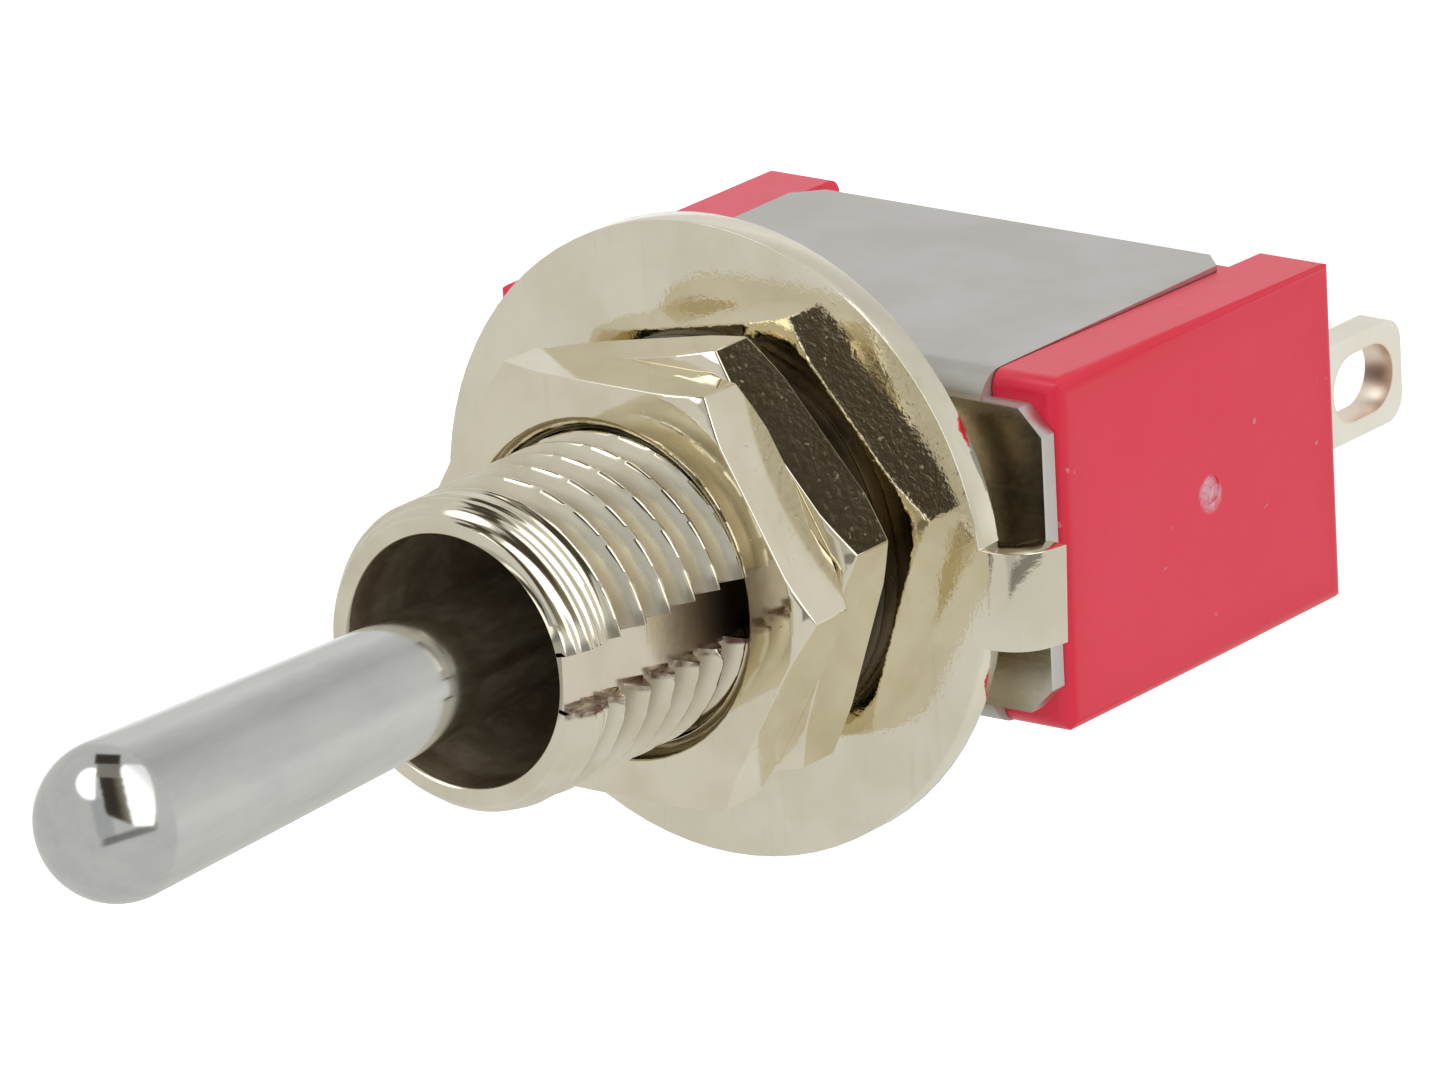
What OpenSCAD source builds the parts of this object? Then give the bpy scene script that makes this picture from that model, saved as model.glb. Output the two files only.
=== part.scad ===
// Miniature panel toggle switch, three positions with the lever resting upright.
// +Z runs along the bushing towards the lever's tip, +X towards the keyed side of the row of lugs.
// The origin is on the bushing's axis, level with the front face of the front nut.

/* [Case] */
// Length of the moulded case along the row of lugs
case_l = 12.95; // [12.2:0.05:16]
// Width of the case and frame across the two side plates
case_w = 6.86; // [6.4:0.02:9]
// Depth of the case behind the frame's front plate
case_d = 8.94; // [8.6:0.01:11]
// Thickness of the case wall behind each side plate
case_wall = 0.62; // [0.4:0.02:0.9]
// Thickness of the case floor
floor_t = 1.38; // [1.2:0.02:2]
// Radius on the moulded edges
case_round = 0.32; // [0.1:0.02:0.4]
// How much each long side leans in from the front to the back
case_draft = 0.14; // [0:0.02:0.2]
// Depth of the recess in the back that the sealing resin fills
seal_d = 0.8; // [0.4:0.05:1]
// Diameter of the moulding gate's mark on the end wall
gate_d = 0.56; // [0.3:0.02:1]
// Distance of the gate's mark behind the front plate
gate_back = 5.1; // [2:0.1:6]

/* [Frame] */
// Thickness of the frame's sheet
sheet_t = 0.39; // [0.3:0.01:0.5]
// Length of each side plate along the row of lugs
side_plate_l = 9.94; // [9.2:0.02:10.6]
// Depth of each side plate behind the front face of the front plate
side_plate_d = 8.19; // [6.5:0.01:8.4]
// Inside radius of the two folds
fold_r = 0.3; // [0.15:0.05:0.5]
// Length of the front plate from tongue to tongue
front_plate_l = 12.7; // [11.6:0.05:12.8]
// How far each tongue's edge stands back from the outside of the fold
tongue_step = 0.48; // [0.3:0.02:0.8]
// Size of the corner cuts on the tongues and side plates
corner_cut = 0.5; // [0.2:0.05:0.9]

/* [Bushing] */
// Outside diameter of the bushing's thread
thread_d = 6; // [5.8:0.05:6.4]
// Pitch of the thread
thread_pitch = 0.75; // [0.5:0.05:0.85]
// Length of the bushing in front of the plate
bushing_l = 9.72; // [9.2:0.02:12]
// Diameter of the wide mouth
mouth_d = 4.78; // [4.6:0.02:5]
// Depth of the wide mouth
mouth_depth = 3.1; // [2.4:0.1:3.3]
// Diameter of the collar under the keyed washer
collar_d = 8.4; // [7:0.1:9.5]
// Height of the collar
collar_h = 1.1; // [0.6:0.05:1.6]
// Width of the keyway
key_w = 1.2; // [0.8:0.05:1.6]
// Diameter of the riveted stub at the front face of the plate
stub_d = 6.4; // [5.8:0.1:6.6]

/* [Nuts and washers] */
// Size across the flats of each nut
nut_af = 8; // [7.6:0.1:10]
// Thickness of each nut
nut_t = 1.45; // [1:0.05:1.6]
// How much of each nut's corners the chamfers cut off, measured along the thread
nut_chamfer = 0.24; // [0.1:0.02:0.4]
// Angle by which the rear nut is turned against the front nut
nut_turn = 11; // [0:1:59]
// Outside diameter of the keyed washer
washer_d = 12.28; // [11:0.02:14]
// Thickness of the keyed washer
washer_t = 0.64; // [0.4:0.02:0.8]
// Angle by which the washer has turned within its key's play
washer_turn = -1.8; // [-1.8:0.1:1.8]
// Width of the tab that is bent back from the washer's rim
tab_w = 1.9; // [1.4:0.1:3]
// Inside radius of the tab's bend
tab_bend_r = 0.3; // [0.2:0.05:0.5]
// Angle through which the tab is bent
tab_angle = 78; // [50:1:90]
// Length of the tab's straight leg beyond the bend
tab_leg = 0.4; // [0.2:0.05:0.7]
// Outside diameter of the toothed lock washer
lock_d = 7.9; // [7.4:0.1:9]
// Thickness of the toothed lock washer
lock_t = 0.4; // [0.3:0.02:0.6]
// Number of inner teeth on the lock washer
lock_teeth = 10; // [8:1:14]

/* [Lever] */
// Diameter of the lever's round tip
tip_d = 2.98; // [2.6:0.02:3.4]
// Diameter of the lever where it leaves the bushing
bat_d = 2.42; // [2.1:0.02:2.5]
// Reach of the lever beyond the bushing's rim
lever_reach = 11.22; // [8:0.02:16]
// Height of the pivot in front of the plate
pivot_h = 4.6; // [4.4:0.05:4.8]
// Diameter of the pivot ball
ball_d = 4; // [3.6:0.02:4.1]
// Diameter of the pin through the ball
pin_d = 1; // [0.8:0.05:1.1]
// Outside diameter of the hollow tail
tail_d = 2.4; // [2.2:0.02:2.5]
// Length of the tail behind the pivot
tail_l = 6.6; // [6:0.05:7]
// Swing of the lever to each side
swing = 12; // [8:0.5:12]

/* [Plunger and spring] */
// Diameter of the plunger
plunger_d = 1.6; // [1.4:0.02:1.7]
// Length of the plunger that stands in the tail
plunger_grip = 2.4; // [1.8:0.1:3]
// Diameter of the spring's wire
wire_d = 0.2; // [0.14:0.01:0.24]
// Number of turns of the spring
spring_turns = 6; // [4:1:8]

/* [Rocker and contacts] */
// Thickness of the rocker's strip
rocker_t = 0.56; // [0.5:0.02:0.7]
// Distance from the rocker's middle to each of its contacts
contact_x = 3.7; // [3.5:0.05:3.8]
// Diameter of the contact rivets' heads
contact_d = 1.3; // [1:0.05:1.5]
// Height of the contact rivets' heads
contact_h = 0.25; // [0.15:0.01:0.35]
// Height of the end terminals' seats above the case floor
contact_level = 1.85; // [1.7:0.05:2]
// Tilt of the rocker to each side
tilt = 7; // [4:0.5:7]

/* [Terminals] */
// Spacing of the lugs
lug_pitch = 4.7; // [4.6:0.02:4.8]
// Thickness of the terminals' strip
lug_t = 0.64; // [0.5:0.02:0.8]
// Width of the lugs
lug_w = 2.04; // [1.9:0.02:2.8]
// Length of the lugs behind the case
lug_l = 4.22; // [3.2:0.02:6]
// Radius of the lugs' end corners
lug_round = 0.5; // [0.2:0.05:0.8]
// How far the row of lugs stands off the middle of the case
lug_shift = -0.18; // [-0.3:0.02:0.3]
// Width of the oval eye in each lug
eye_w = 1.34; // [0.8:0.02:1.5]
// How much longer the eye is than it is wide
eye_stretch = 0.64; // [0:0.02:1]
// Width of the strip's end beyond the eye
eye_rim = 0.3; // [0.2:0.02:0.8]

/* [Hidden] */

// Clearances
thread_gap = 0.03;      // nuts and washers round the thread
run_gap = 0.05;         // ball, pin and plunger in their seats
press_gap = 0.01;       // pieces pressed or moulded together
recess_gap = 0.03;      // side plate between the end walls
contact_gap = 0.05;     // closed contacts at the end of the swing
past = 1;               // how far a cutting tool runs past a face
eps = 0.01;

// Levels along the bushing's axis, from the front nut's front face down and up
rear_nut_z = -2 * nut_t;
lock_z = rear_nut_z - lock_t;
washer_z = lock_z - washer_t;
plate_z = washer_z - collar_h;
case_z = plate_z - sheet_t;
case_back_z = case_z - case_d;
floor_z = case_back_z + floor_t;
lug_end_z = case_back_z - lug_l;
rim_z = plate_z + bushing_l;
pivot_z = plate_z + pivot_h;
tip_z = rim_z + lever_reach;

// Thread and nuts
thread_depth = 0.613 * thread_pitch;
keyway_x = thread_d / 2 - thread_depth;
thread_foot_z = plate_z + collar_h;
thread_turns = floor((rim_z - thread_foot_z) / thread_pitch - 0.25);
nut_corner_r = nut_af / 2 / cos(30);
nut_face_r = nut_corner_r - nut_chamfer / tan(30);
countersink = 0.55 * thread_depth;

// Bushing bore
chamber_r = ball_d / 2 + run_gap;
seat_r = 0.86 * ball_d / 2;
seat_top_z = pivot_z + sqrt(pow(chamber_r, 2) - pow(seat_r, 2));
mouth_floor_z = rim_z - mouth_depth;
slot_r = pin_d / 2 + run_gap;
pin_hold = 0.3 * pin_d;
pin_l = 2 * (chamber_r + pin_hold);
flare_top_z = plate_z + collar_h;
tail_sweep_r = (pivot_z - case_z) * tan(swing) + tail_d / 2 / cos(swing);
flare_r = max(chamber_r, tail_sweep_r + run_gap);
rivet_flare = 0.3;

// Case
recess_l = side_plate_l + 2 * recess_gap;
block_w = case_w - 2 * sheet_t;
block_lean = 0.2;       // the block between the side plates leans in more than the end walls
block_round = 0.5;      // its two back edges
cavity_w = block_w - 2 * case_wall;
cavity_l = 2 * lug_pitch + lug_t + 0.2;
pedestal_x = contact_x - contact_d / 2 - 0.25;
seat_z = floor_z + contact_level;
pocket_l = cavity_l + 0.7;
pocket_rim = 0.1;
pocket_w = min(cavity_w, block_w - 2 * (block_lean + block_round + pocket_rim));
pocket_corner_r = 0.4;
resin_sink = 0.1;
gate_sink = 0.04;

// Contacts and rocker: the rocker turns about the round top edge of the centre terminal
leg_top_z = seat_z + lug_t;
fixed_contact_z = leg_top_z + contact_h;
edge_r = lug_t / 2;
trough_r = edge_r + run_gap;
strip_lift = 0.1;
wing_rise = 0.5;
moving_contact_lift = strip_lift + wing_rise - contact_h;
rocker_z = fixed_contact_z + contact_gap + contact_x * sin(tilt) - moving_contact_lift * cos(tilt);
valley_z = rocker_z + strip_lift + rocker_t;
wing_z = rocker_z + strip_lift + wing_rise;
wing_end_x = contact_x + contact_d / 2 + 0.15;
rocker_w = cavity_w - 0.4;
rivet_d = 0.55 * contact_d;

// Plunger: its tip just clears the valley, whose curve lets the tip ride along as the rocker tilts
plunger_l = pivot_z - valley_z - run_gap;
valley_r = 1.1 / (2 * (tilt / swing / plunger_l + 0.5 / plunger_l));
tail_bore_r = plunger_d / 2 + run_gap;
bore_top_l = pin_d / 2 + 0.5;
plunger_top_l = tail_l - plunger_grip;
spigot_h = 0.6;
spring_r = tail_bore_r - run_gap - wire_d / 2;
spigot_r = spring_r - wire_d / 2 - run_gap;

// Lever
tip_centre_z = tip_z - tip_d / 2;
bat_slope = (tip_d - bat_d) / 2 / (tip_centre_z - rim_z);
neck_r = bat_d / 2 - bat_slope * (rim_z - pivot_z);

// Washer tab
tab_outer_r = tab_bend_r + washer_t;
tab_corner_r = 0.25;
key_play = 0.1;
bend_x = washer_d / 2 + 0.09;

// Lock washer
tooth_root_r = lock_d / 2 - 0.35;
tooth_pitch_angle = 360 / lock_teeth;

$fn = 64;

// A rectangle with rounded corners, centred on the origin
module round_rect(w, h, r) {
    square([w - 2 * r, h], center = true);
    square([w, h - 2 * r], center = true);
    for (x = [-1, 1], y = [-1, 1])
        translate([x * (w / 2 - r), y * (h / 2 - r)]) circle(r);
}

// A rectangle whose four corners are cut at 45 degrees, centred on the origin
module cut_rect(w, h, c) {
    polygon([
        [w / 2 - c, -h / 2], [w / 2, c - h / 2], [w / 2, h / 2 - c], [w / 2 - c, h / 2],
        [c - w / 2, h / 2], [-w / 2, h / 2 - c], [-w / 2, c - h / 2], [c - w / 2, -h / 2]
    ]);
}

// A rounded block whose two sides lean in evenly from its top width to its bottom width
module round_wedge(top_w, bottom_w, h, r) {
    lean = atan((top_w - bottom_w) / 2 / h);
    side = r / cos(lean);
    top_x = top_w / 2 - r * tan(lean) - side;
    bottom_x = bottom_w / 2 + r * tan(lean) - side;
    polygon([
        [bottom_x, -h / 2], [bottom_x + r * cos(lean), r - h / 2 - r * sin(lean)],
        [top_x + r * cos(lean), h / 2 - r - r * sin(lean)], [top_x, h / 2],
        [-top_x, h / 2], [-top_x - r * cos(lean), h / 2 - r - r * sin(lean)],
        [-bottom_x - r * cos(lean), r - h / 2 - r * sin(lean)], [-bottom_x, -h / 2]
    ]);
    for (side_x = [-1, 1]) {
        translate([side_x * top_x, h / 2 - r]) circle(r);
        translate([side_x * bottom_x, r - h / 2]) circle(r);
    }
}

// Lays a drawing of Y and Z out along X
module along_x(l) {
    rotate([90, 0, 90]) linear_extrude(l, center = true) children();
}

// Lays a drawing of X and Z out along Y
module along_y(l) {
    rotate([90, 0, 0]) linear_extrude(l, center = true) children();
}

// A cone frustum between two levels, with a radius at each
module taper(z1, r1, z2, r2) {
    translate([0, 0, z1]) cylinder(h = z2 - z1, r1 = r1, r2 = r2);
}

// ---- Lever and what moves in it ----

// One turned piece: bat, pivot ball and hollow tail
module lever() {
    tail_chamfer = 0.12;
    color([0.80, 0.81, 0.83]) difference() {
        union() {
            translate([0, 0, tip_centre_z]) sphere(d = tip_d);
            taper(pivot_z, neck_r, tip_centre_z, tip_d / 2);
            translate([0, 0, pivot_z]) sphere(d = ball_d);
            taper(pivot_z - tail_l + tail_chamfer, tail_d / 2, pivot_z, tail_d / 2);
            taper(pivot_z - tail_l, tail_d / 2 - tail_chamfer,
                  pivot_z - tail_l + tail_chamfer, tail_d / 2);
        }
        taper(pivot_z - tail_l - past, tail_bore_r, pivot_z - bore_top_l, tail_bore_r);
        translate([0, 0, pivot_z]) rotate([90, 0, 0])
            cylinder(h = ball_d + past, r = pin_d / 2 + press_gap, center = true);
    }
}

// The cross pin that carries the lever in the bushing's two slots
module pivot_pin() {
    pin_chamfer = 0.1;
    color([0.72, 0.72, 0.74]) translate([0, 0, pivot_z]) rotate([90, 0, 0]) {
        cylinder(h = pin_l - 2 * pin_chamfer, d = pin_d, center = true);
        for (side = [0, 180]) rotate([side, 0, 0]) translate([0, 0, pin_l / 2 - pin_chamfer])
            cylinder(h = pin_chamfer, r1 = pin_d / 2, r2 = pin_d / 2 - pin_chamfer);
    }
}

// Round-nosed plunger with a spigot that centres the spring
module plunger() {
    color([0.93, 0.91, 0.84]) {
        translate([0, 0, pivot_z - plunger_l + plunger_d / 2]) sphere(d = plunger_d);
        taper(pivot_z - plunger_l + plunger_d / 2, plunger_d / 2,
              pivot_z - plunger_top_l, plunger_d / 2);
        taper(pivot_z - plunger_top_l, spigot_r, pivot_z - plunger_top_l + spigot_h, spigot_r);
    }
}

// A coil of round wire as rings of points along a helix, pitch running out flat at both ends
module plunger_spring() {
    ring_sides = 8;
    steps_per_turn = 16;
    steps = spring_turns * steps_per_turn;
    low_z = pivot_z - plunger_top_l + wire_d / 2;
    high_z = pivot_z - bore_top_l - wire_d / 2;
    // share of the height reached after a share t of the turns
    function climb(t) = t - sin(360 * t) / 360 * 1.4 * PI / 2;
    function ring(i) = [for (k = [0:ring_sides - 1])
        let (turn = 360 * i / steps_per_turn, a = 360 * (k + 0.5) / ring_sides,
             r = spring_r + wire_d / 2 * cos(a))
        [r * cos(turn), r * sin(turn),
         low_z + (high_z - low_z) * climb(i / steps) + wire_d / 2 * sin(a)]];
    points = [for (i = [0:steps]) each ring(i)];
    sides = [for (i = [0:steps - 1], k = [0:ring_sides - 1])
        let (a = i * ring_sides, b = a + ring_sides, n = (k + 1) % ring_sides)
        [a + k, a + n, b + n, b + k]];
    start = [for (k = [ring_sides - 1:-1:0]) k];
    finish = [for (k = [0:ring_sides - 1]) steps * ring_sides + k];
    color([0.78, 0.79, 0.80]) polyhedron(points = points, faces = concat([start], sides, [finish]));
}

// ---- Bushing, frame and case ----

// Turned bushing, riveted into the frame's front plate from behind
module bushing() {
    color([0.80, 0.78, 0.70]) difference() {
        union() {
            taper(plate_z, thread_d / 2, rim_z - thread_depth, thread_d / 2);
            taper(rim_z - thread_depth, thread_d / 2, rim_z, thread_d / 2 - 0.6 * thread_depth);
            taper(plate_z, collar_d / 2, plate_z + collar_h, collar_d / 2);
            taper(case_z, stub_d / 2 + rivet_flare, plate_z, stub_d / 2);
        }
        bushing_bore();
        bushing_slots();
        thread_grooves();
        translate([keyway_x, -key_w / 2, plate_z + collar_h]) cube([past, key_w, bushing_l + past]);
    }
}

// One V groove for each turn of the thread, flat at the crest and at the root
module thread_grooves() {
    crest = thread_pitch / 8;
    flank = thread_depth * tan(30);
    groove = [[eps, (thread_pitch - crest) / 2], [0, (thread_pitch - crest) / 2],
              [-thread_depth, (thread_pitch - crest) / 2 - flank],
              [-thread_depth, flank - (thread_pitch - crest) / 2],
              [0, (crest - thread_pitch) / 2], [eps, (crest - thread_pitch) / 2]];
    rotate_extrude() for (turn = [1:thread_turns])
        translate([thread_d / 2, rim_z - (turn - 0.25) * thread_pitch]) polygon(groove);
}

// Everything that is bored out on the bushing's axis
module bushing_bore() {
    mouth_edge = 0.08;
    taper(case_z - past, flare_r, case_z, flare_r);
    taper(case_z - eps, flare_r, flare_top_z, chamber_r);
    taper(flare_top_z - eps, chamber_r, pivot_z, chamber_r);
    intersection() {
        translate([0, 0, pivot_z]) sphere(chamber_r);
        taper(pivot_z - eps, chamber_r + past, seat_top_z, chamber_r + past);
    }
    taper(seat_top_z - eps, seat_r, mouth_floor_z, seat_r);
    taper(seat_top_z + 0.3, seat_r, mouth_floor_z + eps, mouth_d / 2);
    taper(mouth_floor_z, mouth_d / 2, rim_z + past, mouth_d / 2);
    taper(rim_z - mouth_edge, mouth_d / 2, rim_z + eps, mouth_d / 2 + mouth_edge + eps);
}

// Two slots, open to the back, that the pivot pin slides into
module bushing_slots() {
    slot_l = pin_l + 0.1;
    translate([0, 0, pivot_z]) rotate([90, 0, 0]) cylinder(h = slot_l, r = slot_r, center = true);
    translate([-slot_r, -slot_l / 2, case_z - past])
        cube([2 * slot_r, slot_l, pivot_z - case_z + past]);
}

// One folded sheet: front plate with two tongues, and two side plates
module frame() {
    outer_r = fold_r + sheet_t;
    arm = side_plate_d - outer_r;
    color([0.68, 0.68, 0.67]) difference() {
        union() {
            intersection() {
                along_x(side_plate_l) translate([0, plate_z]) difference() {
                    fold_outline(case_w, outer_r, side_plate_d);
                    translate([0, -sheet_t]) fold_outline(block_w, fold_r, side_plate_d);
                }
                along_y(case_w + past) translate([0, plate_z - side_plate_d / 2])
                    side_plate_outline();
            }
            translate([0, 0, case_z]) linear_extrude(sheet_t)
                cut_rect(front_plate_l, case_w - 2 * tongue_step, corner_cut);
        }
        taper(case_z, stub_d / 2 + rivet_flare + press_gap, plate_z, stub_d / 2 + press_gap);
        taper(case_z - eps, stub_d / 2 + rivet_flare + press_gap,
              case_z, stub_d / 2 + rivet_flare + press_gap);
        taper(plate_z - eps, stub_d / 2 + press_gap, plate_z + past, stub_d / 2 + press_gap);
    }
}

// The outside of the fold seen from its end: a block with two rounded front corners
module fold_outline(w, r, d) {
    translate([-w / 2, -d]) square([w, d - r]);
    translate([r - w / 2, -r - eps]) square([w - 2 * r, r + eps]);
    for (x = [-1, 1]) translate([x * (w / 2 - r), -r]) circle(r);
}

// Side plate seen flat, with its two back corners cut off
module side_plate_outline() {
    w = side_plate_l / 2;
    h = side_plate_d / 2;
    polygon([[-w, h + past], [-w, corner_cut - h], [corner_cut - w, -h],
             [w - corner_cut, -h], [w, corner_cut - h], [w, h + past]]);
}

// Moulded case, open at the front, with a seat for each terminal
module case() {
    color([0.80, 0.16, 0.25]) difference() {
        case_block();
        for (y = [0, 1]) mirror([0, y, 0]) side_recess();
        // room for the rocker, and the deeper well between the two seats
        cavity_box(cavity_l, seat_z);
        cavity_box(2 * pedestal_x, floor_z);
        for (x = [-lug_pitch, 0, lug_pitch]) translate([x, lug_shift, (seat_z + case_back_z) / 2])
            cube([lug_t, lug_w, seat_z - case_back_z + past], center = true);
        seal_pocket(seal_d + past, 0);
        translate([case_l / 2 - gate_sink, 0, plate_z - gate_back]) rotate([0, 90, 0])
            cylinder(h = past, d = gate_d);
    }
}

// The case's outside: one block rounded along all of its edges
module case_block() {
    mid_z = (case_z + case_back_z) / 2;
    intersection() {
        translate([0, 0, case_back_z]) linear_extrude(case_d) round_rect(case_l, case_w, case_round);
        along_y(case_w) translate([0, mid_z]) round_rect(case_l, case_d, case_round);
        along_x(case_l) translate([0, mid_z])
            round_wedge(case_w, case_w - 2 * case_draft, case_d, case_round);
    }
}

// The recess for one side plate: its floor leans in towards the back, and the block's edges
// beside it are rounded, the front one so that it seats inside the frame's fold
module side_recess() {
    front_r = fold_r + recess_gap;
    floor_y = block_w / 2;
    back_y = floor_y - block_lean;
    along_x(recess_l) {
        polygon([[floor_y - eps, case_z + past], [case_w, case_z + past],
                 [case_w, case_back_z - past], [back_y - eps, case_back_z - past]]);
        translate([floor_y - front_r, case_z - front_r]) edge_waste(front_r);
        translate([back_y - block_round, case_back_z + block_round]) mirror([0, 1])
            edge_waste(block_round);
    }
}

// What rounding one edge takes away
module edge_waste(r) {
    difference() {
        square(r + eps);
        circle(r);
    }
}

// A box in the case that is open to the front
module cavity_box(l, z) {
    translate([-l / 2, -cavity_w / 2, z]) cube([l, cavity_w, case_z - z + past]);
}

// The shallow pocket in the case's back
module seal_pocket(h, gap) {
    translate([0, 0, case_back_z + seal_d - h]) linear_extrude(h - gap)
        round_rect(pocket_l - 2 * gap, pocket_w - 2 * gap, pocket_corner_r);
}

// Poured resin round the three terminals
module terminal_seal() {
    color([0.20, 0.14, 0.11]) difference() {
        seal_pocket(seal_d - resin_sink, press_gap);
        for (x = [-lug_pitch, 0, lug_pitch]) translate([x, lug_shift, case_back_z + seal_d / 2])
            cube([lug_t, lug_w, seal_d + past], center = true);
    }
}

// ---- Nuts and washers ----

// A thin hexagon nut, chamfered on both faces and countersunk at both ends of its bore
module hex_nut() {
    bore_r = thread_d / 2 + thread_gap;
    difference() {
        intersection() {
            linear_extrude(nut_t) circle(nut_corner_r, $fn = 6);
            union() {
                taper(0, nut_face_r, nut_chamfer, nut_corner_r);
                taper(nut_chamfer, nut_corner_r, nut_t - nut_chamfer, nut_corner_r);
                taper(nut_t - nut_chamfer, nut_corner_r, nut_t, nut_face_r);
            }
        }
        taper(-past, bore_r, nut_t + past, bore_r);
        taper(-eps, bore_r + countersink + eps, countersink, bore_r);
        taper(nut_t - countersink, bore_r, nut_t + eps, bore_r + countersink + eps);
    }
}

module front_nut() {
    color([0.80, 0.77, 0.68]) translate([0, 0, -nut_t]) hex_nut();
}

module rear_nut() {
    color([0.78, 0.75, 0.66]) translate([0, 0, rear_nut_z]) rotate([0, 0, nut_turn]) hex_nut();
}

// A thin ring with teeth that point in to the thread
module lock_washer() {
    tooth_tip_r = thread_d / 2 + thread_gap;
    color([0.76, 0.73, 0.64]) translate([0, 0, lock_z]) linear_extrude(lock_t) {
        difference() {
            circle(lock_d / 2);
            circle(tooth_root_r);
        }
        for (i = [0:lock_teeth - 1]) rotate(i * tooth_pitch_angle) intersection() {
            difference() {
                circle(tooth_root_r + eps);
                circle(tooth_tip_r);
            }
            polygon([[0, 0], [lock_d, -lock_d * tan(tooth_pitch_angle / 4)],
                     [lock_d, lock_d * tan(tooth_pitch_angle / 4)]]);
        }
    }
}

// A flat ring with a key in its bore and a tab bent back from its rim
module keyed_washer() {
    bore_r = thread_d / 2 + thread_gap;
    key_x = keyway_x + 2 * run_gap;
    color([0.80, 0.78, 0.69]) rotate(washer_turn) {
        difference() {
            translate([0, 0, washer_z]) cylinder(h = washer_t, d = washer_d);
            translate([0, 0, washer_z - past]) cylinder(h = washer_t + 2 * past, r = bore_r);
        }
        translate([key_x, key_play - key_w / 2, washer_z])
            cube([bore_r - key_x + 0.2, key_w - 2 * key_play, washer_t]);
        washer_tab();
    }
}

// The tab: a stretch in line with the washer, a bend and a short leg with rounded corners
module washer_tab() {
    root_x = washer_d / 2 - 0.4;
    bend_z = washer_z - tab_bend_r;
    end_angle = 90 - tab_angle;
    intersection() {
        along_y(tab_w) {
            translate([root_x, washer_z]) square([bend_x - root_x, washer_t]);
            translate([bend_x, bend_z]) intersection() {
                difference() {
                    circle(tab_outer_r);
                    circle(tab_bend_r);
                }
                polygon([[0, 0], [0, 2 * tab_outer_r], [2 * tab_outer_r, 2 * tab_outer_r],
                         2 * tab_outer_r * [cos(end_angle), sin(end_angle)]]);
            }
            translate([bend_x, bend_z]) rotate(end_angle) translate([tab_bend_r, -tab_leg])
                square([washer_t, tab_leg + eps]);
        }
        // the tab's outline, seen along X
        along_x(4 * washer_d) translate([0, washer_z + washer_t])
            round_rect(tab_w, 2 * (tab_outer_r + tab_leg), tab_corner_r);
    }
}

// ---- Rocker, contacts and terminals ----

// A strip with a dished middle and two flat wings, troughed below to sit on the centre terminal
module rocker() {
    dish_z = valley_z + valley_r;
    color([0.79, 0.62, 0.38]) difference() {
        along_y(rocker_w) difference() {
            union() {
                intersection() {
                    translate([0, dish_z]) circle(valley_r + rocker_t);
                    translate([-wing_end_x, valley_z - rocker_t])
                        square([2 * wing_end_x, wing_rise + rocker_t]);
                }
                translate([-wing_end_x, wing_z]) square([2 * wing_end_x, rocker_t]);
            }
            translate([0, dish_z]) circle(valley_r);
            translate([0, rocker_z]) circle(trough_r);
        }
        for (x = [-contact_x, contact_x]) translate([x, 0, wing_z - past])
            cylinder(h = rocker_t + 2 * past, d = rivet_d + 2 * press_gap);
    }
}

// A contact rivet: a domed head on a shank through its strip, head towards +Z
module contact_rivet(strip_t) {
    head_edge = 0.4 * contact_h;
    color([0.86, 0.86, 0.84]) {
        translate([0, 0, -strip_t]) cylinder(h = strip_t + eps, d = rivet_d);
        cylinder(h = contact_h - head_edge, d = contact_d);
        translate([0, 0, contact_h - head_edge])
            cylinder(h = head_edge, d1 = contact_d, d2 = contact_d - 3 * head_edge);
    }
}

module rocker_contact_left() {
    translate([-contact_x, 0, wing_z]) mirror([0, 0, 1]) contact_rivet(rocker_t);
}

module rocker_contact_right() {
    translate([contact_x, 0, wing_z]) mirror([0, 0, 1]) contact_rivet(rocker_t);
}

module fixed_contact_left() {
    translate([-contact_x, 0, leg_top_z]) contact_rivet(lug_t);
}

module fixed_contact_right() {
    translate([contact_x, 0, leg_top_z]) contact_rivet(lug_t);
}

// The part of every terminal that stands out of the case: a lug with round corners and an oval eye
module lug(top_z) {
    eye_z = lug_end_z + eye_rim + eye_w / 2;
    translate([0, lug_shift, 0]) along_x(lug_t) difference() {
        union() {
            translate([-lug_w / 2, lug_end_z + lug_round])
                square([lug_w, top_z - lug_end_z - lug_round]);
            translate([lug_round - lug_w / 2, lug_end_z])
                square([lug_w - 2 * lug_round, lug_round + eps]);
            for (y = [-1, 1]) translate([y * (lug_w / 2 - lug_round), lug_end_z + lug_round])
                circle(lug_round);
        }
        translate([0, eye_z]) circle(d = eye_w);
        translate([0, eye_z + eye_stretch]) circle(d = eye_w);
        translate([-eye_w / 2, eye_z]) square([eye_w, eye_stretch + eps]);
    }
}

// An end terminal: the lug's strip is bent inwards over its seat and carries the fixed contact
module end_terminal() {
    bend_r = 0.9 * lug_t;
    leg_l = lug_pitch + lug_t / 2 - pedestal_x - run_gap;
    color([0.86, 0.84, 0.76]) difference() {
        union() {
            translate([lug_pitch, 0, 0]) lug(seat_z);
            translate([0, lug_shift, 0]) along_y(lug_w)
                    translate([lug_pitch + lug_t / 2, leg_top_z]) {
                translate([-leg_l, -lug_t]) square([leg_l - bend_r, lug_t]);
                intersection() {
                    translate([-bend_r, -bend_r]) circle(bend_r);
                    translate([-bend_r - eps, -lug_t]) square([bend_r + eps, lug_t]);
                }
            }
        }
        translate([contact_x, 0, seat_z - past])
            cylinder(h = lug_t + 2 * past, d = rivet_d + 2 * press_gap);
    }
}

module terminal_right() {
    end_terminal();
}

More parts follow.
